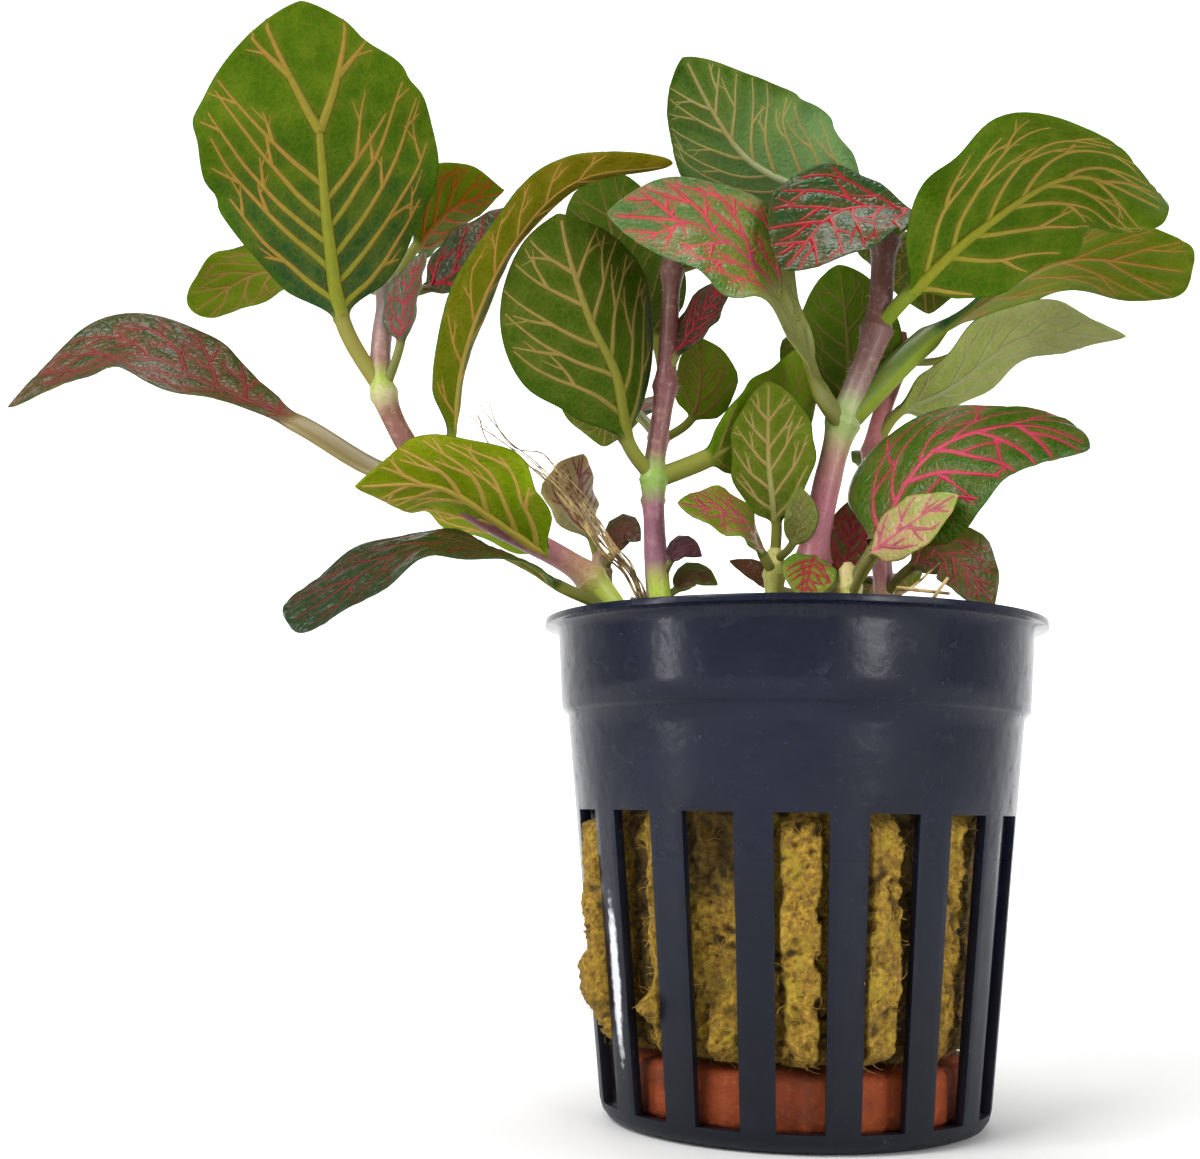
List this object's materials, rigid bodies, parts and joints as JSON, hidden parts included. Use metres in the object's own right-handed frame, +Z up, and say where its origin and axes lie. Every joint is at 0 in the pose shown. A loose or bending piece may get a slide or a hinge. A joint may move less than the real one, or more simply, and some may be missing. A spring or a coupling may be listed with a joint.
{
  "type": "potted nerve plant",
  "caption": "Small creeping nerve plant with veined oval leaves, rooted in mineral wool in a slotted plastic net pot with a fired clay weight.",
  "frame": {"origin": "middle of the pot's flat underside", "axes": "+Z up out of the pot, -Y the pictured front, +X to the right seen from the front"},
  "size_m": [0.127, 0.0552, 0.1086],
  "materials": {
    "pot_plastic": "semi-gloss",
    "fired_clay": "matt, fluted",
    "mineral_wool": "rough and porous",
    "dry_root": "dry and fibrous",
    "stem_mauve": "smooth, slightly downy",
    "stem_lime": "smooth, slightly downy",
    "leaf_blade": "satin, netted with veins",
    "leaf_small": "satin, netted with veins"
  },
  "bodies": {
    "root": {"net_pot": "pot_plastic", "clay_weight": "fired_clay", "rockwool": "mineral_wool", "dry_roots": "dry_root", "stem_a": "stem_mauve", "stem_b": "stem_mauve", "stem_c": "stem_mauve", "stem_d": "stem_lime", "stem_e": "stem_mauve", "stem_f": "stem_mauve", "stem_g": "stem_mauve", "stem_h": "stem_lime", "leaf_a3_front": "leaf_blade", "leaf_a3_small": "leaf_small", "leaf_a2_left": "leaf_blade", "leaf_a2_right": "leaf_blade", "leaf_a1_front": "leaf_blade", "leaf_a1_low": "leaf_blade", "leaf_a4_right": "leaf_blade", "leaf_a4_left": "leaf_blade", "leaf_a4_back": "leaf_blade", "leaf_b1_left": "leaf_blade", "leaf_b1_right": "leaf_blade", "leaf_b2_left": "leaf_blade", "leaf_b2_right": "leaf_small", "leaf_b3_back": "leaf_blade", "leaf_b0_dark": "leaf_small", "leaf_b0_green": "leaf_small", "leaf_c0_down": "leaf_small", "leaf_c0_twig": "leaf_small", "leaf_c0_right": "leaf_small", "leaf_c1_left": "leaf_blade", "leaf_c1_right": "leaf_blade", "leaf_c1_back": "leaf_blade", "leaf_c2_right": "leaf_blade", "leaf_c3_back": "leaf_blade", "leaf_c3_front": "leaf_blade", "leaf_c3_far": "leaf_blade", "leaf_d1_big": "leaf_blade", "leaf_d1_small": "leaf_small", "leaf_e0_low": "leaf_blade", "leaf_e0_back": "leaf_blade", "leaf_e1_right": "leaf_blade", "leaf_e1_back": "leaf_blade", "leaf_e2_right": "leaf_small", "leaf_e2_back": "leaf_blade", "leaf_f0_back": "leaf_blade", "leaf_f2_front": "leaf_blade", "leaf_f2_back": "leaf_blade", "leaf_g1_up": "leaf_blade", "leaf_g1_small": "leaf_small", "leaf_h1_up": "leaf_blade", "leaf_h1_left": "leaf_blade", "leaf_h1_right": "leaf_small"}
  },
  "joints": []
}
